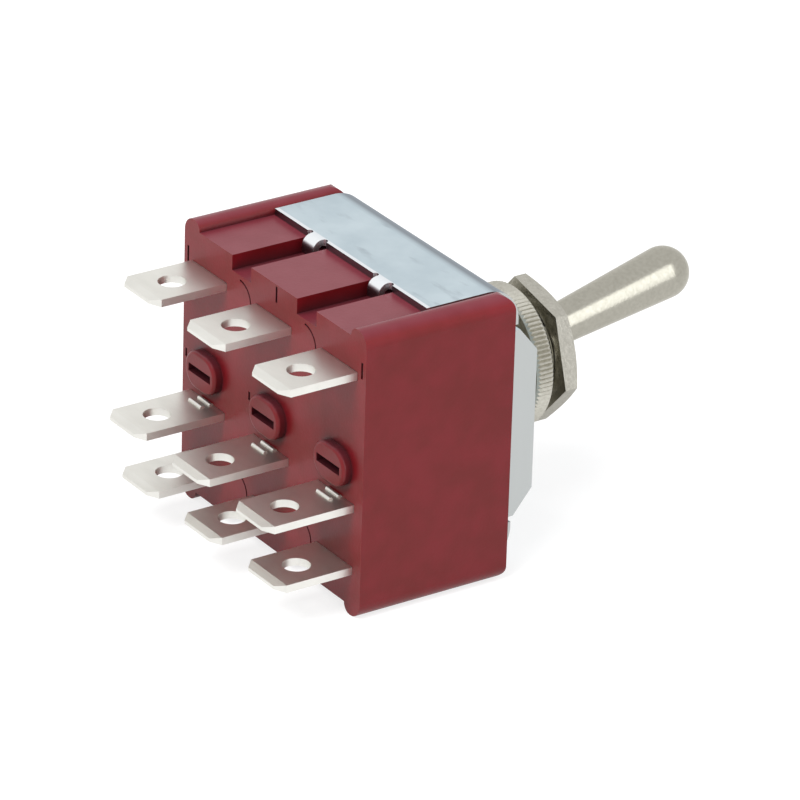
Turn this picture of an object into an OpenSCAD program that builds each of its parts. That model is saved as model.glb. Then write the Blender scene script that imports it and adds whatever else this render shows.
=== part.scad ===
// Three-pole double-throw panel toggle switch.
// The bushing's axis is the Y axis and the lever points along +Y, out of the panel.
// The terminals leave the back of the body along -Y. +Z is the lever's upper throw.
// The origin is on the bushing's axis, at the front face of the moulded body.

/* [Body] */
// Width of the moulded body across the poles
body_w = 32.2; // [31.8:0.2:36]
// Height of the moulded body over its end rims
body_h = 30.2; // [30:0.2:33]
// Depth of the moulded body
body_d = 17; // [17:0.5:22]
// Distance between the centres of two poles
pole_pitch = 11.5; // [11.4:0.1:11.6]
// Radius along the outer edges of the end rims
rim_r = 1.6; // [1:0.1:1.7]
// Radius on the front ends of the end rims
front_r = 1.3; // [1:0.1:2.1]
// Width of the three pole chambers
chamber_w = 6.8; // [6.6:0.1:6.8]
// Thickness of the wall that holds the terminals
rear_wall = 3.6; // [3.4:0.1:4]
// Width of each end rim
rim_w = 2.8; // [2.8:0.1:3]
// Depth of the two grooves between the poles
groove_depth = 1.6; // [1:0.1:1.8]
// Width of the two grooves between the poles
groove_w = 3.4; // [3:0.1:4]

/* [Rear bosses] */
// Width of the oblong boss on each pole's back
boss_w = 5.4; // [5:0.1:6.4]
// Height of the boss
boss_h = 4; // [3:0.1:4.2]
// How far the boss stands out of the body
boss_rise = 1; // [0.6:0.1:1.6]
// Radius round the boss's outer edge
boss_edge = 0.35; // [0.1:0.05:0.5]
// Width of the slot in the boss
slot_w = 3.9; // [2.6:0.1:4]

/* [Terminals] */
// Width of a terminal blade
tab_w = 6.3; // [6:0.1:6.4]
// Thickness of a terminal blade
tab_t = 0.8; // [0.6:0.1:0.8]
// Length of the upper and lower blades outside the body
outer_tab_len = 8.3; // [7:0.1:10]
// Length of the common blades outside the body
common_tab_len = 9.8; // [8:0.1:12]
// Distance of the upper and lower blades from the top and bottom of the body
outer_tab_in = 4.8; // [4.7:0.1:5.1]
// Height of the common blades
common_tab_z = -3.65; // [-3.8:0.05:-3.5]
// Radius of the wire hole in a blade
wire_hole_r = 1.4; // [0.8:0.1:1.6]
// Distance of the wire hole from the blade's tip
wire_hole_in = 4; // [3:0.1:4.5]

/* [Frame] */
// Thickness of the steel sheet
sheet_t = 0.7; // [0.5:0.1:0.8]
// How far each flange lies below the top of the end rims
flange_drop = 0.3; // [0:0.1:0.5]
// Length of each flange behind the body's front
flange_len = 8.4; // [6:0.1:10]
// Distance from the body's front to the frame's shoulders
shoulder_y = 2.3; // [2.2:0.1:3]
// Distance from the body's front to the frame's mounting face
web_y = 4.65; // [4.6:0.05:5.5]
// Distance of the slanted faces' feet from the top and bottom of the frame
slant_in = 4.5; // [4:0.1:5]
// Height of each slanted face
slant_h = 2.9; // [2.4:0.1:3.8]
// Width of each tongue that hooks into a groove
tongue_w = 1.9; // [1.6:0.1:2.9]

/* [Bushing] */
// Radius over the bushing's thread
thread_r = 5; // [5:0.1:5.4]
// Radius of the bushing's mouth
mouth_r = 3.7; // [3.5:0.1:3.9]
// Distance from the body's front to the bushing's end
bushing_y = 15; // [14.5:0.1:16]
// Radius over the ring's knurl
ring_r = 7.3; // [6.5:0.1:8]
// Thickness of the knurled ring
ring_t = 2; // [1.5:0.1:3]
// Distance from the body's front to the ring's front face
ring_y = 11.3; // [10.5:0.1:11.6]
// Number of ridges in the knurl
knurls = 96; // [60:2:110]
// Size of the hex nut across its flats
nut_af = 12.8; // [12.5:0.1:15]
// Thickness of the hex nut
nut_t = 1.8; // [1.4:0.1:1.8]
// Distance from the body's front to the nut's rear face
nut_y = 12.7; // [12:0.1:12.7]

/* [Lever] */
// Distance from the body's front to the lever's pivot
pivot_y = 8.8; // [8.7:0.1:9]
// Angle of the lever from the bushing's axis at each end of its throw
throw = 12.5; // [8:0.5:12.5]
// Distance from the pivot to the middle of the lever's round tip
lever_len = 20.9; // [18:0.1:26]
// Radius of the lever's tip
tip_r = 2.7; // [2:0.1:3]
// Radius of the lever at the pivot ball
root_r = 1.7; // [1.5:0.1:1.8]
// Radius of the lever's pivot ball
ball_r = 2.9; // [2.7:0.05:2.9]
// Radius of the pivot pin
pin_r = 0.75; // [0.5:0.05:0.8]
// Distance from the pivot to the lever's driving ball
arm_len = 7.4; // [7.2:0.1:7.5]
// Radius of the lever's driving ball
drive_r = 1.6; // [1.5:0.05:1.6]

/* [Contacts] */
// Tilt of a rocker from level at each end of its throw
rocker_tilt = 10; // [8:0.5:10]
// Distance from a rocker's pivot to the middle of each contact
contact_arm = 7; // [6.6:0.1:7]
// Thickness of a rocker's strip
rocker_t = 0.8; // [0.6:0.1:0.8]
// Radius of the contact rivets
rivet_r = 1.5; // [1.2:0.1:1.6]
// Thickness of a fixed contact
fixed_t = 0.6; // [0.4:0.1:0.7]
// Thickness of a moving contact
moving_t = 0.5; // [0.3:0.1:0.6]
// Number of turns in each contact spring
spring_turns = 7; // [5:1:9]

/* [Fits] */
// Clearance of a pin or a trunnion in its seat
pivot_gap = 0.05; // [0.02:0.01:0.08]
// Clearance of a part that slides in another
slide_gap = 0.1; // [0.06:0.01:0.12]
// Gap left between closed contacts
contact_gap = 0.08; // [0.05:0.01:0.12]
// Gap left under each plunger's nose
nose_gap = 0.15; // [0.12:0.01:0.2]
// Clearance of the ring and the nut over the thread
thread_gap = 0.02; // [0.01:0.01:0.1]

/* [Hidden] */
$fn = 64;
eps = 0.01;

// Steel frame: its size follows the body it clasps
frame_w = body_w - 2 * rim_w;
frame_h = body_h - 2 * flange_drop;
slant_z = frame_h / 2 - slant_in;
bend_r = 3.7;
frame_hole_r = thread_r - 0.2;

// Body: the pole blocks under the flanges, the chambers, and the cover's seat
block_z = frame_h / 2 - sheet_t;
rim_gap = 0.1;
crown_r = body_h / 2 - block_z;
outer_tab_z = body_h / 2 - outer_tab_in;
floor_y = -body_d + rear_wall;
chamber_h = 2 * outer_tab_z + 2.2;
recess_w = 2 * pole_pitch + chamber_w;
cover_t = 1.4;
cover_h = chamber_h + 1.4;

// Carriage under the cover, and the socket for the lever's driving ball
carriage_top = -cover_t - slide_gap;
carriage_t = 2.2;
carriage_h = 8.4;
recess_y = carriage_top - carriage_t - slide_gap;
travel = arm_len * sin(throw);
socket_r = drive_r + slide_gap;
socket_floor = pivot_y - arm_len - drive_r - 3 * slide_gap;
collar_r = 2.9;
collar_y = 2.6;

// Terminals: the leg in the boss, and the ears and the edge round a contact
leg_in = 1;
slot_gap = 0.03;
ear_t = 0.8;
ear_h = 3.2;
contact_edge = 0.6;
shank_r = 0.8;

// The rocker's pivot lies where the closed contacts meet
foot_y = floor_y + tab_t;
rocker_y = foot_y + fixed_t + contact_gap + moving_t + rocker_t / 2;
rocker_w = 4.2;
rocker_end = 1.5;
trunnion_r = 0.6;

// Spring and plunger, and the tower that guides them
tower_r = 2.75;
tower_y = -7;
plunger_r = 1.92;
plunger_len = 4;
plunger_out = 1.6;
plunger_y = tower_y - plunger_out;
cup_r = 1.4;
cup_floor = 1.2;
spring_seat = -2.1;
nose_r = 1.1;
nose_y = rocker_y + rocker_t / 2 + nose_gap + nose_r;
wire_r = 0.2;
coil_r = 1.08;

phenolic = [0.53, 0.24, 0.25];
zinc = [0.78, 0.82, 0.84];
nickel = [0.76, 0.74, 0.69];
tin = [0.86, 0.85, 0.82];
copper = [0.78, 0.52, 0.32];
silver = [0.90, 0.90, 0.88];
nylon = [0.90, 0.88, 0.80];

// Middle of pole n, counted 1 to 3 along X
function pole_x(n) = (n - 2) * pole_pitch;

// Extrudes a profile drawn as [y, z] along X, centred
module across(width) {
    rotate([90, 0, 90]) linear_extrude(width, center = true) children();
}

// Extrudes an outline drawn as [x, z] from y0 to y1
module deep(y0, y1) {
    translate([0, y1, 0]) rotate([90, 0, 0]) linear_extrude(y1 - y0) children();
}

// Turns a shape that runs along Z so that it runs along +Y from y
module along_y(y = 0) {
    translate([0, y, 0]) rotate([-90, 0, 0]) children();
}

module round_rect(w, h, r) {
    square([w - 2 * r, h], center = true);
    square([w, h - 2 * r], center = true);
    for (x = [-1, 1], z = [-1, 1]) {
        translate([x * (w / 2 - r), z * (h / 2 - r)]) circle(r);
    }
}

// Section of the body across X and Z: two end rims with rounded crowns, and the pole blocks
// between them
module body_section() {
    difference() {
        round_rect(body_w, body_h, rim_r);
        for (s = [-1, 1]) {
            translate([0, s * body_h])
                square([frame_w + 2 * rim_gap, 2 * (body_h - block_z)], center = true);
            for (x = [-0.5, 0.5]) {
                translate([x * pole_pitch, s * body_h])
                    square([groove_w, 2 * (body_h - block_z + groove_depth)], center = true);
            }
        }
        for (t = [0, 1], u = [0, 1]) mirror([t, 0]) mirror([0, u])
            translate([frame_w / 2 + rim_gap, block_z]) difference() {
                translate([-eps, 0]) square([crown_r + eps, 2 * crown_r]);
                translate([crown_r, 0]) circle(crown_r);
            }
    }
}

// Side view of the body, with its front edges rounded
module body_side() {
    translate([-2 * body_d, -body_h / 2]) square([2 * body_d - front_r, body_h]);
    translate([-2 * body_d, front_r - body_h / 2]) square([2 * body_d, body_h - 2 * front_r]);
    for (s = [-1, 1]) {
        translate([-front_r, s * (body_h / 2 - front_r)]) circle(front_r);
    }
}

// Half of a boss's section: its radius along X, and Y from its front, with a rounded edge
module boss_profile(r) {
    translate([0, boss_edge]) square([r, boss_rise - boss_edge + eps]);
    square([r - boss_edge, boss_rise]);
    translate([r - boss_edge, boss_edge]) circle(boss_edge);
}

// Oblong boss with round ends on the body's back
module boss() {
    end_r = boss_h / 2;
    straight = boss_w - boss_h;
    for (s = [-1, 1]) translate([s * straight / 2, 0, 0]) {
        along_y(-body_d - boss_rise) rotate_extrude() boss_profile(end_r);
    }
    across(straight) translate([-body_d - boss_rise, 0]) {
        for (s = [0, 1]) mirror([0, s]) mirror([1, -1]) boss_profile(end_r);
    }
}

// Moulding line beside an outer terminal: a quarter turn that runs on downwards
module mould_line(x, z) {
    line_r = 2.1;
    line_w = 0.2;
    line_top = 1.8;
    run_on = 1.3;
    translate([x + tab_w / 2 + line_r + line_w, z + line_top - line_r]) {
        intersection() {
            difference() {
                circle(line_r);
                circle(line_r - line_w);
            }
            square(line_r);
        }
        translate([line_r - line_w, -run_on]) square([line_w, run_on + eps]);
    }
}

// Fine upright line on the back, at the seam of two inserts of the mould
module seam_mark(x, z, h) {
    mark_w = 0.3;
    translate([x - mark_w / 2, z]) square([mark_w, h]);
}

// Side view of what is rounded off the pole blocks inside the frame's two bends
module bend_room() {
    bend_gap = 0.05;
    for (s = [0, 1]) mirror([0, s]) {
        translate([shoulder_y - bend_r, frame_h / 2 - bend_r]) difference() {
            square(2 * bend_r);
            circle(bend_r - sheet_t - bend_gap);
        }
    }
}

module housing() {
    line_depth = 0.2;
    seam_h = 1.7;
    seam_in = 0.2;
    boss_seam_in = 1.3;
    boss_seam_h = 0.9;
    rim_seam_in = 0.7;
    color(phenolic) difference() {
        union() {
            difference() {
                intersection() {
                    deep(-body_d, 0) body_section();
                    across(2 * body_w) body_side();
                }
                across(frame_w + 2 * rim_gap) bend_room();
                // seat of the cover plate, the carriage's recess and the chambers
                translate([-recess_w / 2 - slide_gap, -cover_t, -cover_h / 2])
                    cube([recess_w + 2 * slide_gap, 2 * cover_t, cover_h]);
                translate([-recess_w / 2, recess_y, -chamber_h / 2])
                    cube([recess_w, -recess_y, chamber_h]);
                for (n = [1:3]) translate([pole_x(n) - chamber_w / 2, floor_y, -chamber_h / 2])
                    cube([chamber_w, -floor_y, chamber_h]);
            }
            for (n = [1:3]) translate([pole_x(n), 0, 0]) boss();
        }
        for (n = [1:3]) {
            for (z = [-outer_tab_z, common_tab_z, outer_tab_z]) tab_slot(pole_x(n), z, tab_w);
            tab_slot(pole_x(n), 0, slot_w);
        }
        deep(-body_d - line_depth, line_depth - body_d) {
            for (n = [1:2], s = [-1, 1]) mould_line(pole_x(n), s * outer_tab_z);
            for (n = [1:2]) seam_mark(pole_x(n) - boss_w / 2 - boss_seam_in, 0, boss_seam_h);
            seam_mark(boss_seam_h / 2, block_z - seam_in - seam_h, seam_h);
            for (s = [-1, 1]) seam_mark(s * (body_w / 2 - rim_seam_in), outer_tab_z, seam_h);
        }
    }
}

// Slot through the rear wall for a blade of width w
module tab_slot(x, z, w) {
    translate([x - w / 2 - slot_gap, -body_d - 2 * boss_rise, z - tab_t / 2 - slot_gap])
        cube([w + 2 * slot_gap, 2 * boss_rise + 2 * rear_wall, tab_t + 2 * slot_gap]);
}

// Insulating plate that closes the chambers, with a slot for the carriage's collar
module cover_plate() {
    slot_r = collar_r + 3 * slide_gap;
    reach = travel + 2 * slide_gap;
    color(phenolic * 0.8) difference() {
        translate([-recess_w / 2, -cover_t, slide_gap - cover_h / 2])
            cube([recess_w, cover_t, cover_h - 2 * slide_gap]);
        deep(-2 * cover_t, cover_t) {
            square([2 * slot_r, 2 * reach], center = true);
            for (s = [-1, 1]) translate([0, s * reach]) circle(slot_r);
        }
    }
}

// Profile of the frame in Y and Z, moved inwards by d
module frame_profile(d) {
    slope = slant_h / (web_y - shoulder_y);
    top = frame_h / 2 - d;
    bend_z = frame_h / 2 - bend_r;
    foot_z = slant_z + slope * d - d * sqrt(1 + slope * slope);
    web_z = foot_z - slant_h;
    shoulder = shoulder_y - d;
    translate([-flange_len, -top]) square([flange_len + shoulder_y - bend_r, 2 * top]);
    translate([0, -bend_z]) square([shoulder, 2 * bend_z]);
    for (s = [-1, 1]) translate([shoulder_y - bend_r, s * bend_z]) circle(bend_r - d);
    polygon([
        [0, -foot_z - slope * shoulder], [shoulder, -foot_z], [web_y - d, -web_z],
        [web_y - d, web_z], [shoulder, foot_z], [0, foot_z + slope * shoulder]
    ]);
}

// Tongue bent down out of a flange's rear edge into a groove
module tongue_profile() {
    out_r = 1.1;
    drop = 0.7;
    translate([-flange_len, frame_h / 2 - out_r]) {
        intersection() {
            difference() {
                circle(out_r);
                circle(out_r - sheet_t);
            }
            translate([-out_r, 0]) square(out_r);
        }
        translate([-out_r, -drop]) square([sheet_t, drop + eps]);
        translate([-eps, out_r - sheet_t]) square([out_r, sheet_t]);
    }
}

module steel_frame() {
    relief_r = 0.35;
    notch = 0.6;
    color(zinc) difference() {
        union() {
            difference() {
                across(frame_w) frame_profile(0);
                across(frame_w - 2 * sheet_t) intersection() {
                    frame_profile(sheet_t);
                    translate([-sheet_t, -frame_h]) square([web_y, 2 * frame_h]);
                }
                translate([-frame_w, -body_d, -block_z]) cube([2 * frame_w, body_d, 2 * block_z]);
            }
            for (x = [-0.5, 0.5], s = [0, 1]) translate([x * pole_pitch, 0, 0])
                mirror([0, 0, s]) across(tongue_w) tongue_profile();
        }
        along_y() cylinder(r = frame_hole_r, h = 2 * web_y);
        // relief holes beside each tongue, and notches at the corners of the side walls
        for (x = [-0.5, 0.5], s = [-1, 1]) {
            translate([x * pole_pitch + s * (tongue_w / 2 + relief_r), -flange_len, 0])
                cylinder(r = relief_r, h = 2 * frame_h, center = true);
        }
        for (x = [-1, 1], z = [-1, 1]) {
            translate([x * frame_w / 2, shoulder_y, z * slant_z])
                cube([2 * sheet_t, 2 * notch, notch], center = true);
        }
    }
}

// Turned bushing: a flange behind the frame's web, a neck in front of it, and the thread
module bushing() {
    flange_r = thread_r + 1.4;
    neck_r = thread_r + 0.8;
    neck_t = 0.5;
    bore_r = ball_r + slide_gap;
    bevel = 0.4;
    web_back = web_y - sheet_t;
    throat_r = 0.9 * ball_r;
    color(nickel) difference() {
        along_y() rotate_extrude() polygon([
            [bore_r, web_back - sheet_t], [flange_r, web_back - sheet_t],
            [flange_r, web_back], [frame_hole_r, web_back],
            [frame_hole_r, web_y], [neck_r, web_y], [neck_r, web_y + neck_t],
            [thread_r, web_y + neck_t], [thread_r, bushing_y - bevel],
            [thread_r - bevel, bushing_y], [mouth_r, bushing_y],
            [throat_r, pivot_y + 0.7 * ball_r], [bore_r, pivot_y + 0.3 * ball_r]
        ]);
        translate([0, pivot_y, 0]) rotate([0, 90, 0])
            cylinder(r = pin_r, h = 4 * thread_r, center = true);
    }
}

// Ring with a straight knurl on its rim
module knurled_ring() {
    depth = 0.22;
    bevel = 0.3;
    color(nickel) difference() {
        intersection() {
            deep(ring_y - ring_t, ring_y) polygon([
                for (i = [0:2 * knurls - 1])
                    let (r = ring_r + eps - depth * (i % 2), a = i * 180 / knurls)
                    [r * cos(a), r * sin(a)]
            ]);
            along_y(ring_y - ring_t) rotate_extrude() polygon([
                [0, 0], [ring_r - bevel, 0], [ring_r, bevel], [ring_r, ring_t - bevel],
                [ring_r - bevel, ring_t], [0, ring_t]
            ]);
        }
        along_y() cylinder(r = thread_r + thread_gap, h = 2 * ring_y);
    }
}

// Hex nut with its corners chamfered on the front face
module hex_nut() {
    turned = 12.5;
    bevel = 0.45;
    corner_r = nut_af / 2 / cos(30);
    face_r = 0.49 * nut_af;
    out_r = 2 * corner_r - face_r;
    color(nickel) difference() {
        intersection() {
            along_y(nut_y) rotate([0, 0, turned]) cylinder(r = corner_r, h = nut_t, $fn = 6);
            along_y(nut_y) rotate_extrude() polygon([
                [0, -eps], [out_r, -eps], [out_r, nut_t - 2 * bevel], [face_r, nut_t], [0, nut_t]
            ]);
        }
        along_y() cylinder(r = thread_r + thread_gap, h = 2 * nut_y);
    }
}

// Half section of the lever along its own axis, from the driving ball to the bat's round tip
module lever_profile() {
    arm_r = 0.75 * drive_r;
    taper = asin((tip_r - root_r) / lever_len);
    intersection() {
        translate([0, -2 * arm_len]) square([2 * ball_r, 2 * arm_len + 2 * lever_len]);
        union() {
            translate([0, -arm_len]) circle(drive_r);
            translate([0, -arm_len]) square([arm_r, arm_len]);
            circle(ball_r);
            polygon([
                [0, 0], [root_r * cos(taper), -root_r * sin(taper)],
                [tip_r * cos(taper), lever_len - tip_r * sin(taper)],
                [0, lever_len]
            ]);
            translate([0, lever_len]) circle(tip_r);
        }
    }
}

// Lever in its upper position, with the bore of its pivot pin
module bat_lever() {
    color(nickel) translate([0, pivot_y, 0]) rotate([throw, 0, 0]) difference() {
        along_y() rotate_extrude() lever_profile();
        rotate([0, 90, 0]) cylinder(r = pin_r + pivot_gap, h = 4 * ball_r, center = true);
    }
}

module pivot_pin() {
    color(zinc) translate([0, pivot_y, 0]) rotate([0, 90, 0])
        cylinder(r = pin_r, h = 2 * frame_hole_r, center = true);
}

// Moulded carriage: a plate, the lever's socket in front and a spring tower for each pole
module carriage() {
    plate_w = recess_w - 3 * slide_gap;
    color(nylon) translate([0, 0, -travel]) difference() {
        union() {
            translate([-plate_w / 2, carriage_top - carriage_t, -carriage_h / 2])
                cube([plate_w, carriage_t, carriage_h]);
            along_y(carriage_top - eps) cylinder(r = collar_r, h = collar_y - carriage_top + eps);
            for (n = [1:3]) translate([pole_x(n), 0, 0]) along_y(tower_y)
                cylinder(r = tower_r, h = carriage_top - carriage_t / 2 - tower_y);
        }
        along_y(socket_floor) cylinder(r = socket_r, h = pivot_y - socket_floor);
        for (n = [1:3]) translate([pole_x(n), 0, 0]) along_y(plunger_y)
            cylinder(r = plunger_r + slide_gap, h = spring_seat - plunger_y);
    }
}

// Cup-shaped plunger with a round nose that rides on the rocker
module plunger(n) {
    color(nylon * 0.9) translate([pole_x(n), 0, -travel]) difference() {
        union() {
            along_y(plunger_y) cylinder(r = plunger_r, h = plunger_len);
            along_y(nose_y) cylinder(r = nose_r, h = plunger_y - nose_y + eps);
            along_y(nose_y) sphere(nose_r);
        }
        along_y(plunger_y + cup_floor) cylinder(r = cup_r, h = plunger_len);
    }
}

// Point on the spring's centre line after a given number of turns
function coil_point(turn, turns, y0, y1, r) =
    [r * cos(360 * turn), y0 + (y1 - y0) * turn / turns, r * sin(360 * turn)];

// Compression spring between the plunger's cup and the carriage
module spring(n) {
    seat_gap = 0.02;
    y0 = plunger_y + cup_floor + wire_r + seat_gap;
    y1 = spring_seat - wire_r - seat_gap;
    per_turn = 16;
    steps = per_turn * spring_turns;
    sides = 6;
    rings = [for (i = [0:steps])
        let (
            t = i / per_turn,
            p = coil_point(t, spring_turns, y0, y1, coil_r),
            out = [cos(360 * t), 0, sin(360 * t)]
        )
        for (k = [0:sides - 1])
            p + wire_r * (cos(360 * k / sides) * out + sin(360 * k / sides) * [0, 1, 0])];
    walls = [for (i = [0:steps - 1], k = [0:sides - 1])
        let (a = i * sides + k, b = i * sides + (k + 1) % sides)
        [a, b, b + sides, a + sides]];
    color(zinc) translate([pole_x(n), 0, -travel]) polyhedron(
        points = rings,
        faces = concat(
            walls,
            [[for (k = [sides - 1:-1:0]) k]],
            [[for (k = [0:sides - 1]) steps * sides + k]]
        ),
        convexity = 10
    );
}

// Moves a shape from level to the rocker's rest position at pole n
module at_rocker(n) {
    translate([pole_x(n), rocker_y, 0]) rotate([-rocker_tilt, 0, 0]) children();
}

// Strip bent into a shallow V, with a trunnion at each side
module rocker(n) {
    arm = contact_arm + rocker_end;
    hole_r = shank_r - 0.1;
    color(copper) at_rocker(n) difference() {
        union() {
            for (s = [-1, 1]) rotate([-s * rocker_tilt, 0, 0])
                translate([-rocker_w / 2, -rocker_t / 2, s > 0 ? 0 : -arm])
                    cube([rocker_w, rocker_t, arm]);
            rotate([0, 90, 0])
                cylinder(r = trunnion_r, h = tab_w - 2 * slide_gap, center = true);
        }
        for (s = [-1, 1]) rotate([-s * rocker_tilt, 0, 0]) translate([0, 0, s * contact_arm])
            along_y(-2 * rocker_t) cylinder(r = hole_r, h = 4 * rocker_t);
    }
}

// Two contact rivets clenched through a rocker's arms
module rocker_contacts(n) {
    clench_r = 1;
    clench_t = 0.25;
    bond = 0.1;
    back = rocker_t / 2;
    color(silver) at_rocker(n) for (s = [-1, 1]) {
        rotate([-s * rocker_tilt, 0, 0]) translate([0, 0, s * contact_arm]) {
            along_y(-back - moving_t) cylinder(r = rivet_r, h = moving_t);
            along_y(-back - bond) cylinder(r = shank_r - 0.1, h = rocker_t + 2 * bond);
            along_y(back) cylinder(r = clench_r, h = clench_t);
        }
    }
}

// Flat blade with chamfered corners, a bevelled tip and a wire hole, from the tip to y1
module blade(len, y1) {
    tip = -body_d - len;
    bevel = 0.9;
    corner = 0.9;
    edge = 0.22 * tab_t;
    difference() {
        intersection() {
            translate([0, 0, -tab_t / 2]) linear_extrude(tab_t) polygon([
                [-tab_w / 2, y1], [-tab_w / 2, tip + corner], [corner - tab_w / 2, tip],
                [tab_w / 2 - corner, tip], [tab_w / 2, tip + corner], [tab_w / 2, y1]
            ]);
            across(2 * tab_w) polygon([
                [y1, -tab_t / 2], [tip + bevel, -tab_t / 2], [tip, -edge], [tip, edge],
                [tip + bevel, tab_t / 2], [y1, tab_t / 2]
            ]);
        }
        translate([0, tip + wire_hole_in, 0])
            cylinder(r = wire_hole_r, h = 2 * tab_t, center = true);
    }
}

// Blade that turns through a right angle onto the chamber's floor, where its foot reaches
// the given distance from the blade's middle
module bent_tab(len, foot) {
    bend = 1;
    across(tab_w) {
        translate([foot_y - bend, tab_t / 2 - bend]) intersection() {
            difference() {
                circle(bend);
                circle(bend - tab_t);
            }
            square(bend);
        }
        translate([floor_y, -foot]) square([tab_t, foot + tab_t / 2 - bend]);
    }
    blade(len, foot_y - bend);
}

// Terminal of an outer row at side s, with a hole for its contact
module throw_tab(n, s) {
    foot = outer_tab_z - contact_arm + rivet_r + contact_edge;
    color(tin) difference() {
        translate([pole_x(n), 0, s * outer_tab_z]) mirror([0, 0, s > 0 ? 0 : 1])
            bent_tab(outer_tab_len, foot);
        translate([pole_x(n), 0, s * contact_arm]) along_y(floor_y - tab_t)
            cylinder(r = shank_r, h = 3 * tab_t);
    }
}

// Common terminal: its foot carries two notched ears that cradle the rocker, and a leg in the
// boss's slot keeps it upright
module common_tab(n) {
    seat_r = trunnion_r + pivot_gap;
    lip = trunnion_r;
    color(tin) translate([pole_x(n), 0, 0]) {
        translate([0, 0, common_tab_z]) mirror([0, 0, 1])
            bent_tab(common_tab_len, ear_h / 2 - common_tab_z);
        translate([-slot_w / 2, -body_d + leg_in, -tab_t / 2])
            cube([slot_w, rear_wall - leg_in + eps, tab_t]);
        for (s = [-1, 1]) difference() {
            translate([s * (tab_w - ear_t) / 2 - ear_t / 2, foot_y - eps, -ear_h / 2])
                cube([ear_t, rocker_y - foot_y + lip, ear_h]);
            translate([0, rocker_y, 0]) rotate([0, 90, 0])
                cylinder(r = seat_r, h = 2 * tab_w, center = true);
            translate([-tab_w, rocker_y, -seat_r]) cube([2 * tab_w, 2 * lip, 2 * seat_r]);
        }
        stop_ribs();
    }
}

// Two short ribs pressed up out of the common blade, one at the body and one beside it
module stop_ribs() {
    rib_r = 0.25;
    rib_w = 2.2;
    rib_pitch = 1.05;
    for (i = [0, 1]) {
        translate([0, -body_d - rib_r - i * rib_pitch, common_tab_z + tab_t / 2])
            rotate([0, 90, 0]) cylinder(r = rib_r, h = rib_w, center = true);
    }
}

// Fixed contact of an outer row at side s, riveted through the terminal's foot
module fixed_contact(n, s) {
    color(silver) translate([pole_x(n), 0, s * contact_arm]) {
        along_y(foot_y) cylinder(r = rivet_r, h = fixed_t);
        along_y(floor_y) cylinder(r = shank_r, h = tab_t + eps);
    }
}

housing();
cover_plate();
steel_frame();
bushing();
knurled_ring();
hex_nut();
bat_lever();
pivot_pin();
carriage();
plunger(1);  // plunger_1
plunger(2);  // plunger_2
plunger(3);  // plunger_3
spring(1);  // spring_1
spring(2);  // spring_2
spring(3);  // spring_3
rocker(1);  // rocker_1
rocker(2);  // rocker_2
rocker(3);  // rocker_3
rocker_contacts(1);  // rocker_contacts_1
rocker_contacts(2);  // rocker_contacts_2
rocker_contacts(3);  // rocker_contacts_3
throw_tab(1, 1);  // upper_tab_1
throw_tab(2, 1);  // upper_tab_2
throw_tab(3, 1);  // upper_tab_3
common_tab(1);  // common_tab_1
common_tab(2);  // common_tab_2
common_tab(3);  // common_tab_3
throw_tab(1, -1);  // lower_tab_1
throw_tab(2, -1);  // lower_tab_2
throw_tab(3, -1);  // lower_tab_3
fixed_contact(1, 1);  // upper_contact_1
fixed_contact(2, 1);  // upper_contact_2
fixed_contact(3, 1);  // upper_contact_3
fixed_contact(1, -1);  // lower_contact_1
fixed_contact(2, -1);  // lower_contact_2
fixed_contact(3, -1);  // lower_contact_3
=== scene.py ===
import math

import bpy
from mathutils import Matrix, Vector


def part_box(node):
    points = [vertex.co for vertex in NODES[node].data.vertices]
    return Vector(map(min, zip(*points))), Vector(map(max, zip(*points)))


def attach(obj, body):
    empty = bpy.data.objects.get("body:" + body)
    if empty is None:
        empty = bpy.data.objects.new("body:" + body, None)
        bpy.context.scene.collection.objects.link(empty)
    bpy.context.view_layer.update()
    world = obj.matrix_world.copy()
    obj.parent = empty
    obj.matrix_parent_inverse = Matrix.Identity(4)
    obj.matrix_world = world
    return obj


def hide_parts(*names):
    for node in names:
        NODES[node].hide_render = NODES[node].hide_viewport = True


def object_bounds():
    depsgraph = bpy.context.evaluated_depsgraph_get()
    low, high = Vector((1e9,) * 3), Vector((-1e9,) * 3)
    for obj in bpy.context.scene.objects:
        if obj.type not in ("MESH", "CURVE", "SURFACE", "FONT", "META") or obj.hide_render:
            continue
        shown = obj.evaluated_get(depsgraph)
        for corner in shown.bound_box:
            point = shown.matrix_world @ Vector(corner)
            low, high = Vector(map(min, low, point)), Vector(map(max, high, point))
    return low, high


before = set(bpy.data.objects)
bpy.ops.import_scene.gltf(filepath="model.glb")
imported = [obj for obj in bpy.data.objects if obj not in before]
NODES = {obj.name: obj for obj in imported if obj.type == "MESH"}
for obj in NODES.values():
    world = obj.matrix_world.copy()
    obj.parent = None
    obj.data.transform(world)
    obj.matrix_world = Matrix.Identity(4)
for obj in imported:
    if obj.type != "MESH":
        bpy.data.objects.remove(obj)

# Lengths are in millimetres where a comment doesn't say metres, and colours are linear.
MM = 0.001
start_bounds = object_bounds()


# ---------------------------------------------------------------- shader nodes

def new_material(name):
    """A material with a Principled shader: (material, nodes, links, shader)."""
    mat = bpy.data.materials.new(name)
    mat.use_nodes = True
    nodes = mat.node_tree.nodes
    return mat, nodes, mat.node_tree.links, nodes["Principled BSDF"]


def noise(nodes, links, scale, detail, stretch=(1, 1, 1)):
    """Noise in the object's own millimetres, drawn out along an axis whose share is under 1."""
    coords = nodes.new("ShaderNodeTexCoord")
    mapping = nodes.new("ShaderNodeMapping")
    mapping.inputs["Scale"].default_value = [share / MM for share in stretch]
    links.new(coords.outputs["Object"], mapping.inputs["Vector"])
    tex = nodes.new("ShaderNodeTexNoise")
    tex.inputs["Scale"].default_value = scale
    tex.inputs["Detail"].default_value = detail
    links.new(mapping.outputs["Vector"], tex.inputs["Vector"])
    return tex.outputs["Fac"]


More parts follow.
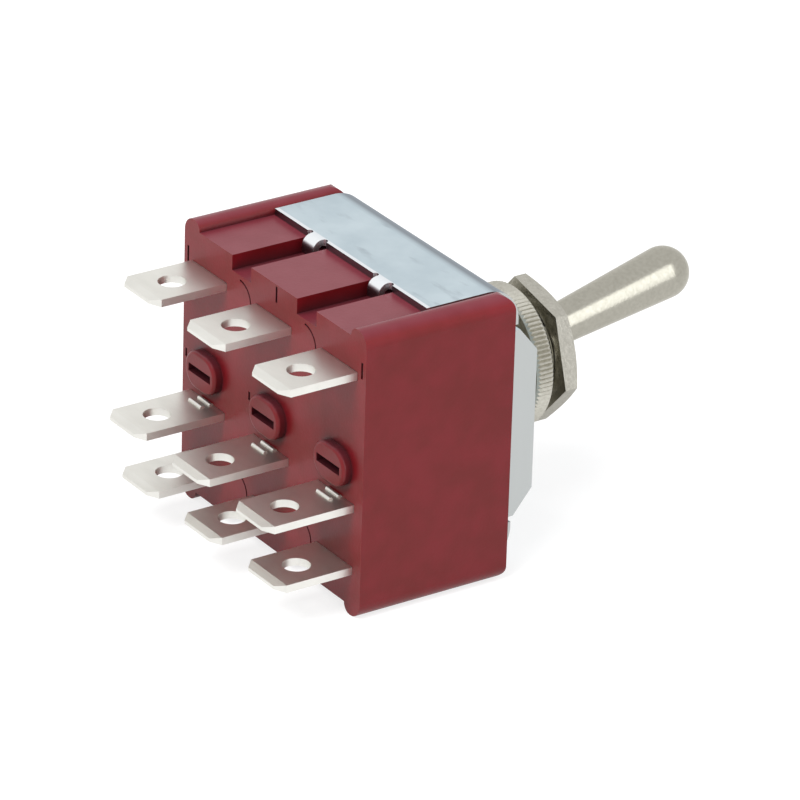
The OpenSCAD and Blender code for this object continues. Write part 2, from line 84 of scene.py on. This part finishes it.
def axes(nodes, links, coordinate):
    """The axes of a texture coordinate: Object, Generated, or Normal (in object space)."""
    coords = nodes.new("ShaderNodeTexCoord")
    split = nodes.new("ShaderNodeSeparateXYZ")
    links.new(coords.outputs[coordinate], split.inputs["Vector"])
    return split.outputs


def ramp(nodes, links, factor, stops):
    """Colour ramp through (position, colour) stops."""
    node = nodes.new("ShaderNodeValToRGB")
    elements = node.color_ramp.elements
    while len(elements) < len(stops):
        elements.new(0.5)
    for element, (position, colour) in zip(elements, stops):
        element.position = position
        element.color = (*colour, 1)
    links.new(factor, node.inputs["Fac"])
    return node.outputs["Color"]


def two_tone(nodes, links, factor, limits, tones):
    """The two tones at the two limits of the factor, and a ramp between them."""
    return ramp(nodes, links, factor, list(zip(limits, tones)))


def step_up(nodes, links, value, zero, one):
    """0 up to the value zero and 1 past the value one, with a smooth step between them."""
    node = nodes.new("ShaderNodeMapRange")
    node.interpolation_type = "SMOOTHSTEP"
    node.inputs["From Min"].default_value = zero
    node.inputs["From Max"].default_value = one
    links.new(value, node.inputs["Value"])
    return node.outputs["Result"]


def mixed(nodes, links, factor, first, second):
    """Colour that goes from the first to the second as the factor goes from 0 to 1. Each is a
    colour, or a socket that gives one."""
    node = nodes.new("ShaderNodeMix")
    node.data_type = "RGBA"
    links.new(factor, node.inputs["Factor"])
    for name, colour in (("A", first), ("B", second)):
        socket = next(i for i in node.inputs if i.name == name and i.type == "RGBA")
        if isinstance(colour, tuple):
            socket.default_value = (*colour, 1)
        else:
            links.new(colour, socket)
    return next(o for o in node.outputs if o.type == "RGBA")


def bump(nodes, links, shader, height, distance):
    """Bump of a height signal, over a distance in millimetres."""
    node = nodes.new("ShaderNodeBump")
    node.inputs["Distance"].default_value = distance * MM
    node.inputs["Strength"].default_value = 1.0
    links.new(height, node.inputs["Height"])
    links.new(node.outputs["Normal"], shader.inputs["Normal"])


# ---------------------------------------------------------------- finishes

MOTTLE_SCALE, MOTTLE_DETAIL, MOTTLE_RANGE = 0.35, 6, (0.35, 0.65)
SHEEN_FROM, SHEEN_FULL = 0.45, 0.95     # the normal's Z where the painted sheen starts and is full
GROOVE_REACH = 2.5                      # how far off a wall the painted groove shade still reaches
GROOVE_SHUT = 0.35                      # openness at which the painted groove shade is at its darkest
GROOVE_SAMPLES = 8
MOULD_SPECULAR = 0.33
MOULD_GRAIN_SCALE, MOULD_GRAIN_DEPTH = 3.0, 0.01

PLATE_DETAIL, PLATE_RANGE = 5, (0.3, 0.7)
PLATE_GRAIN_SCALE = 4.0
GRAIN_DETAIL = 3

TONGUE_REACH = 1.1                      # from the tongues' backs to the flanges' rear edges
GLINT_FULL, GLINT_NONE = 0.30, 0.50       # painted highlight: full and none at these distances from the flanges' rear edges
SCUFF_SCALE, SCUFF_DETAIL, SCUFF_STRETCH = 0.55, 6, (0.35, 1.0, 1.0)
SCUFF_FROM, SCUFF_FULL = 0.57, 0.72
FLANK_FROM, FLANK_FULL = 0.60, 0.90     # the normal's X on the sheet's flanks, which take a painted darker reflection
CUT_FROM, CUT_FULL = -0.80, -0.95       # the normal's Y on the sheet's cut rear faces, which take painted shade
BLACK, WHITE = (0, 0, 0), (1, 1, 1)
BEND_REFLECTION_STOPS = [(0.04, BLACK), (0.25, WHITE), (0.60, WHITE), (0.85, BLACK)]     # painted darker reflection round the bends, by the normal's Y


def openness(nodes, links):
    """1 in the open, falling to 0 in each groove and corner with walls close by: the mask of the
    painted shade.
    """
    node = nodes.new("ShaderNodeAmbientOcclusion")
    node.samples = GROOVE_SAMPLES
    node.only_local = True
    node.inputs["Distance"].default_value = GROOVE_REACH * MM
    return step_up(nodes, links, node.outputs["AO"], GROOVE_SHUT, 1.0)


def moulding(name, tones, roughness, painted_sheen=None, groove_shade=None):
    """Moulded plastic: mottled between two tones, satin and finely grained, with a painted sheen
    (two lighter tones) on the faces that look up, and painted shade in each groove and corner."""
    mat, nodes, links, shader = new_material(name)
    mottle = noise(nodes, links, MOTTLE_SCALE, MOTTLE_DETAIL)
    tone = two_tone(nodes, links, mottle, MOTTLE_RANGE, tones)
    # painted sheen: a lighter tone on the faces that look up
    if painted_sheen:
        sheen_tone = two_tone(nodes, links, mottle, MOTTLE_RANGE, painted_sheen)
        upward = step_up(nodes, links, axes(nodes, links, "Normal")["Z"], SHEEN_FROM, SHEEN_FULL)
        tone = mixed(nodes, links, upward, tone, sheen_tone)
    # painted shade: darker in each groove and corner where walls stand close
    if groove_shade:
        tone = mixed(nodes, links, openness(nodes, links), groove_shade, tone)
    links.new(tone, shader.inputs["Base Color"])
    shader.inputs["Roughness"].default_value = roughness
    shader.inputs["Specular IOR Level"].default_value = MOULD_SPECULAR
    grain = noise(nodes, links, MOULD_GRAIN_SCALE, GRAIN_DETAIL)
    bump(nodes, links, shader, grain, MOULD_GRAIN_DEPTH)
    return mat


def plated(name, tones, roughness, scale=0.6, depth=0.004, stretch=(1, 1, 1),
           edge=(0.80, 0.79, 0.76)):
    """Plated metal: uneven between two tones, with a fine grain of that depth. The edge colour
    tints what it reflects at a glancing angle."""
    mat, nodes, links, shader = new_material(name)
    uneven = noise(nodes, links, scale, PLATE_DETAIL, stretch)
    tone = two_tone(nodes, links, uneven, PLATE_RANGE, tones)
    links.new(tone, shader.inputs["Base Color"])
    shader.inputs["Metallic"].default_value = 1.0
    shader.inputs["Specular Tint"].default_value = (*edge, 1)
    shader.inputs["Roughness"].default_value = roughness
    grain = noise(nodes, links, PLATE_GRAIN_SCALE, GRAIN_DETAIL, stretch)
    bump(nodes, links, shader, grain, depth)
    return mat


def zinc_sheet(name, tones, roughness, scale, edge, scuffed, flank_reflection, bend_reflection, edge_glint, cut):
    """Zinc-plated sheet: plated metal with short scuffs, a painted darker reflection on its
    flanks and round its bends, and at the flanges' rear edges a painted highlight on the corner
    over painted shade on the cut face."""
    mat = plated(name, tones, roughness, scale, edge=edge)
    nodes, links = mat.node_tree.nodes, mat.node_tree.links
    shader = nodes["Principled BSDF"]
    tone = shader.inputs["Base Color"].links[0].from_socket
    scratches = noise(nodes, links, SCUFF_SCALE, SCUFF_DETAIL, SCUFF_STRETCH)
    place = axes(nodes, links, "Object")
    normal = axes(nodes, links, "Normal")
    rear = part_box("steel_frame")[0][1] + TONGUE_REACH * MM
    layers = [
        (step_up(nodes, links, scratches, SCUFF_FROM, SCUFF_FULL), scuffed),
        # painted reflection: darker and less blue on the flanks
        (step_up(nodes, links, normal["X"], FLANK_FROM, FLANK_FULL), flank_reflection),
        # painted reflection: darker round the bends
        (ramp(nodes, links, normal["Y"], BEND_REFLECTION_STOPS), bend_reflection),
        # painted highlight on the flanges' rear edges and the tongues
        (step_up(nodes, links, place["Y"], rear + GLINT_NONE * MM, rear + GLINT_FULL * MM), edge_glint),
        # painted shade on the cut rear faces
        (step_up(nodes, links, normal["Y"], CUT_FROM, CUT_FULL), cut),
    ]
    for share, colour in layers:
        tone = mixed(nodes, links, share, tone, colour)
    links.new(tone, shader.inputs["Base Color"])
    return mat


# the maroon moulding has a painted sheen on its upward faces and painted shade in its hollows
MAROON = moulding("maroon_moulding", ((0.128, 0.003, 0.004), (0.154, 0.004, 0.008)), 0.32,
                  painted_sheen=((0.132, 0.016, 0.025), (0.146, 0.022, 0.032)),
                  groove_shade=(0.046, 0.009, 0.012))
INSULATOR = moulding("insulator", ((0.10, 0.010, 0.012), (0.12, 0.014, 0.016)), 0.42)
NYLON = moulding("nylon", ((0.68, 0.64, 0.52), (0.74, 0.70, 0.58)), 0.45)
# zinc with a painted darker reflection on flanks and bends, a painted highlight on the rear
# edges and painted shade on the cut faces
ZINC = zinc_sheet("zinc_plate", ((0.57, 0.66, 0.705), (0.68, 0.77, 0.81)), 0.36,
                  scale=0.25, edge=(0.62, 0.66, 0.70), scuffed=(0.50, 0.57, 0.61),
                  flank_reflection=(0.51, 0.53, 0.525), bend_reflection=(0.35, 0.375, 0.40),
                  edge_glint=(0.93, 0.95, 0.97), cut=(0.22, 0.17, 0.19))
PIN = plated("pin_steel", ((0.42, 0.43, 0.44), (0.50, 0.51, 0.52)), 0.30)
NICKEL = plated("nickel_plate", ((0.373, 0.360, 0.308), (0.427, 0.412, 0.356)), 0.22,
                scale=2.5, depth=0.008, edge=(1.0, 0.99, 0.96))
RING = plated("nickel_ring", ((0.44, 0.425, 0.37), (0.54, 0.525, 0.465)), 0.30,
              scale=2.5, depth=0.01)
NUT = plated("nickel_nut", ((0.42, 0.405, 0.355), (0.51, 0.495, 0.44)), 0.25,
             scale=2.5, depth=0.02)
TIN = plated("tin_plate", ((0.79, 0.78, 0.735), (0.86, 0.85, 0.805)), 0.42,
             stretch=(0.4, 1, 1))
COPPER = plated("copper_strip", ((0.58, 0.28, 0.13), (0.66, 0.33, 0.16)), 0.30)
SILVER = plated("silver_contact", ((0.80, 0.79, 0.75), (0.88, 0.87, 0.83)), 0.25)
WIRE = plated("spring_wire", ((0.42, 0.41, 0.39), (0.48, 0.47, 0.45)), 0.30)

FINISH = {
    "housing": MAROON, "cover_plate": INSULATOR, "steel_frame": ZINC, "bushing": NICKEL,
    "knurled_ring": RING, "hex_nut": NUT, "bat_lever": NICKEL, "pivot_pin": PIN,
    "carriage": NYLON, "plunger": NYLON, "spring": WIRE, "rocker": COPPER,
    "rocker_contacts": SILVER, "upper_tab": TIN, "common_tab": TIN, "lower_tab": TIN,
    "upper_contact": SILVER, "lower_contact": SILVER,
}

# Widths of the bevels on the edges in view
EDGE_BEVEL = {"housing": 0.15, "steel_frame": 0.12, "hex_nut": 0.09,
              "upper_tab": 0.07, "common_tab": 0.07, "lower_tab": 0.07}
BEVEL_SEGMENTS = 2
BEVEL_ANGLE = 28                        # degrees: sharper edges are bevelled


def kind_of(node_name):
    """A node's name, without the pole's number where it has one."""
    return node_name.rsplit("_", 1)[0] if node_name[-1].isdigit() else node_name


def soften(obj, width):
    """Rounds the sharp edges of a CAD node by a bevel modifier."""
    mod = obj.modifiers.new("soft_edges", "BEVEL")
    mod.width = width * MM
    mod.segments = BEVEL_SEGMENTS
    mod.limit_method = "ANGLE"
    mod.angle_limit = math.radians(BEVEL_ANGLE)
    mod.use_clamp_overlap = True


for node_name, obj in NODES.items():
    kind = kind_of(node_name)
    obj.data.materials.clear()
    obj.data.materials.append(FINISH[kind])
    if kind in EDGE_BEVEL:
        soften(obj, EDGE_BEVEL[kind])


# ---------------------------------------------------------------- thread of the bushing

THREAD_R, THREAD_DEPTH, THREAD_PITCH = 5.0, 0.38, 0.75
FLANK_RISE = 2.6                        # depths over one pitch, along the thread's flanks
CREST_FLAT = 0.15                       # share of the depth taken off for the flat crest
WEB_Y, SHEET_T = 4.65, 0.7              # front of the frame's web, and its sheet's thickness
NECK_R, THREAD_Y = 5.8, 5.15
MOUTH_R, MOUTH_BEVEL = 3.7, 0.4
THROAT_R, THROAT_Y = 2.6, 10.8
BORE_R, BORE_Y = 3.0, 9.7
AROUND = 96                             # points round the bushing
PER_PITCH = 8                           # rows of points over one pitch
SHARP_ANGLE = 25                        # degrees: sharper edges aren't shaded smooth


def clamped(value):
    """The value, held between 0 and 1."""
    return min(1.0, max(0.0, value))


def thread_radius(y, turn, end):
    """Radius of the thread at y and at a share of a turn, with the bevel at the bushing's
    end."""
    phase = (y / THREAD_PITCH - turn) % 1.0
    cut = THREAD_DEPTH * clamped(FLANK_RISE * abs(phase - 0.5) - CREST_FLAT)
    run_in = clamped((y - THREAD_Y) / THREAD_PITCH)
    return min(THREAD_R - cut * run_in, THREAD_R - MOUTH_BEVEL + end - y)


def bushing_rows():
    """The bushing's profile as rows of (radius, y), the radius None along the thread, and the
    y of its front end."""
    low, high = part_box("bushing")
    rear, end, flange_r = low[1] / MM, high[1] / MM, high[0] / MM
    steps = round((end - THREAD_Y) / THREAD_PITCH * PER_PITCH)
    rows = [(BORE_R, rear), (flange_r, rear), (flange_r, WEB_Y - SHEET_T),
            (NECK_R, WEB_Y - SHEET_T), (NECK_R, THREAD_Y), (THREAD_R, THREAD_Y)]
    rows += [(None, THREAD_Y + (end - THREAD_Y) * i / steps) for i in range(1, steps + 1)]
    rows += [(MOUTH_R, end), (THROAT_R, THROAT_Y), (BORE_R, BORE_Y)]
    return rows, end


def threaded_bushing():
    """The bushing with its helical thread, in place of the node's plain cylinder."""
    rows, end = bushing_rows()
    verts = []
    for r, y in rows:
        for k in range(AROUND):
            turn = k / AROUND
            radius = thread_radius(y, turn, end) if r is None else r
            a = 2 * math.pi * turn
            verts.append((radius * MM * math.cos(a), y * MM, radius * MM * math.sin(a)))
    faces = []
    for i in range(len(rows)):
        j = (i + 1) % len(rows)
        for k in range(AROUND):
            m = (k + 1) % AROUND
            faces.append((i * AROUND + k, i * AROUND + m, j * AROUND + m, j * AROUND + k))
    mesh = bpy.data.meshes.new("bushing_thread")
    mesh.from_pydata(verts, [], faces)
    mesh.validate()
    mesh.shade_smooth()
    mesh.set_sharp_from_angle(angle=math.radians(SHARP_ANGLE))
    mesh.materials.append(NICKEL)
    obj = bpy.data.objects.new("bushing_thread", mesh)
    bpy.context.collection.objects.link(obj)
    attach(obj, "body")
    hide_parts("bushing")


threaded_bushing()


# ---------------------------------------------------------------- floor and room

# The room's light on the object, from level (0) to overhead (1)
ROOM = [(0.0, (0.42, 0.42, 0.42)), (0.35, (0.50, 0.50, 0.50)), (0.75, (0.95, 0.96, 0.98))]
ROOM_STRENGTH = 0.8
FLOOR_SIZE = 4.0                        # metres
FLOOR_GREY, FLOOR_ROUGHNESS = 0.8, 0.9  # of the floor that lights the object
FLOOR_SHADE = 0.28                      # grey of the floor in view, which takes the shadow
FLOOR_GLOW, FLOOR_WHITE = 0.66, 0.77    # added to it in reflections, and to the camera
FADE_FROM, FADE_TO = 0.05, 0.25         # metres from the object's middle


def shows_backdrop(nodes, links):
    """1 for rays from the camera, from a reflection or through glass, which see the plain white
    backdrop, and 0 for the soft light on the object."""
    path = nodes.new("ShaderNodeLightPath")
    found = path.outputs["Is Camera Ray"]
    for ray in ("Is Glossy Ray", "Is Transmission Ray"):
        either = nodes.new("ShaderNodeMath")
        either.operation = "MAXIMUM"
        links.new(found, either.inputs[0])
        links.new(path.outputs[ray], either.inputs[1])
        found = either.outputs["Value"]
    return found


def shown_or_lighting(nodes, links, shown, lighting, output):
    """Sends one shader to the output for the rays that see the backdrop, and another for the
    rays that light the object."""
    mix = nodes.new("ShaderNodeMixShader")
    links.new(shows_backdrop(nodes, links), mix.inputs["Fac"])
    links.new(lighting, mix.inputs[1])
    links.new(shown, mix.inputs[2])
    links.new(mix.outputs["Shader"], nodes[output].inputs["Surface"])


def floor_level(nodes, links):
    """Strength of the floor's glow: one level in reflections, and a higher one to the camera,
    which rises to full white away from the object."""
    away = nodes.new("ShaderNodeVectorMath")
    away.operation = "LENGTH"
    links.new(nodes.new("ShaderNodeNewGeometry").outputs["Position"], away.inputs[0])
    fade = nodes.new("ShaderNodeMapRange")
    fade.inputs["From Min"].default_value = FADE_FROM
    fade.inputs["From Max"].default_value = FADE_TO
    fade.inputs["To Min"].default_value = FLOOR_WHITE
    fade.inputs["To Max"].default_value = 1.0
    links.new(away.outputs["Value"], fade.inputs["Value"])
    level = nodes.new("ShaderNodeMapRange")
    level.inputs["To Min"].default_value = FLOOR_GLOW
    links.new(fade.outputs["Result"], level.inputs["To Max"])
    links.new(nodes.new("ShaderNodeLightPath").outputs["Is Camera Ray"], level.inputs["Value"])
    return level.outputs["Result"]


def stage_floor(z):
    """Plain pale floor at a height in metres, which shows white with the object's soft shadow,
    and fades into the white backdrop away from the object."""
    bpy.ops.mesh.primitive_plane_add(size=FLOOR_SIZE, location=(0, 0, z))
    floor = bpy.context.object
    floor.name = "floor"
    mat, nodes, links, shader = new_material("white_floor")
    shader.inputs["Base Color"].default_value = (FLOOR_GREY, FLOOR_GREY, FLOOR_GREY, 1)
    shader.inputs["Roughness"].default_value = FLOOR_ROUGHNESS
    shader.inputs["Specular IOR Level"].default_value = 0.0
    shade = nodes.new("ShaderNodeBsdfDiffuse")
    shade.inputs["Color"].default_value = (FLOOR_SHADE, FLOOR_SHADE, FLOOR_SHADE, 1)
    glow = nodes.new("ShaderNodeEmission")
    links.new(floor_level(nodes, links), glow.inputs["Strength"])
    both = nodes.new("ShaderNodeAddShader")
    links.new(shade.outputs["BSDF"], both.inputs[0])
    links.new(glow.outputs["Emission"], both.inputs[1])
    shown_or_lighting(nodes, links, both.outputs["Shader"], shader.outputs["BSDF"],
                      "Material Output")
    floor.data.materials.append(mat)


def studio_world():
    """The white backdrop, and for the light on the object pale grey walls under a brighter
    ceiling."""
    world = bpy.data.worlds.new("studio")
    bpy.context.scene.world = world
    world.use_nodes = True
    nodes, links = world.node_tree.nodes, world.node_tree.links
    room = nodes["Background"]
    height = axes(nodes, links, "Generated")["Z"]
    links.new(ramp(nodes, links, height, ROOM), room.inputs["Color"])
    room.inputs["Strength"].default_value = ROOM_STRENGTH
    backdrop = nodes.new("ShaderNodeBackground")
    backdrop.inputs["Color"].default_value = (*WHITE, 1)
    backdrop.inputs["Strength"].default_value = 1.0
    shown_or_lighting(nodes, links, backdrop.outputs["Background"], room.outputs["Background"],
                      "World Output")


# ---------------------------------------------------------------- lamps and camera

SENSOR = 36.0
PICTURE = 800.0                         # pixels across the reference view
CLIP_START, CLIP_END = 0.01, 20.0       # metres


def softbox(name, place, size, watts, colour=WHITE, mirrored=True):
    """Area light aimed at the middle of the object, its place and size in metres, which shows
    in reflections where it is mirrored."""
    data = bpy.data.lights.new(name, "AREA")
    data.shape = "RECTANGLE"
    data.size, data.size_y = size
    data.energy = watts
    data.color = colour
    lamp = bpy.data.objects.new(name, data)
    bpy.context.collection.objects.link(lamp)
    lamp.location = place
    lamp.rotation_euler = (-Vector(place)).to_track_quat("-Z", "Y").to_euler()
    lamp.visible_glossy = mirrored


def photo_camera(azimuth, elevation, roll, distance, focal_px, shift_x, shift_z, target):
    """Camera of the reference view: angles in degrees, and the focal length in pixels of the
    square picture. It stands at a distance from the target, moved aside by the two shifts."""
    a, e, r = (math.radians(v) for v in (azimuth, elevation, roll))
    back = Vector((math.sin(a) * math.cos(e), -math.cos(a) * math.cos(e), math.sin(e)))
    right = Vector((0, 0, 1)).cross(back).normalized()
    up = back.cross(right)
    right, up = (math.cos(r) * right + math.sin(r) * up,
                 math.cos(r) * up - math.sin(r) * right)
    place = Vector(target) + back * distance - right * shift_x - up * shift_z
    data = bpy.data.cameras.new("camera")
    data.sensor_width = SENSOR
    data.lens = SENSOR * focal_px / PICTURE
    data.clip_start, data.clip_end = CLIP_START, CLIP_END
    cam = bpy.data.objects.new("camera", data)
    bpy.context.collection.objects.link(cam)
    turn = Matrix((right, up, back)).transposed().to_4x4()
    cam.matrix_world = Matrix.Translation(place * MM) @ turn
    bpy.context.scene.camera = cam


bpy.context.scene.view_settings.view_transform = "Standard"
stage_floor(start_bounds[0][2])
studio_world()
softbox("key", place=(0.08, -0.36, 0.54), size=(0.40, 0.40), watts=5.3, mirrored=False)
softbox("side", place=(0.71, 0.10, 0.35), size=(0.45, 0.78), watts=2.0,
        colour=(0.97, 0.985, 1.0))
photo_camera(azimuth=55.563, elevation=25.85, roll=1.789, distance=619.685,
             focal_px=6382.18, shift_x=-4.915, shift_z=0.46, target=(0, -8, 0))
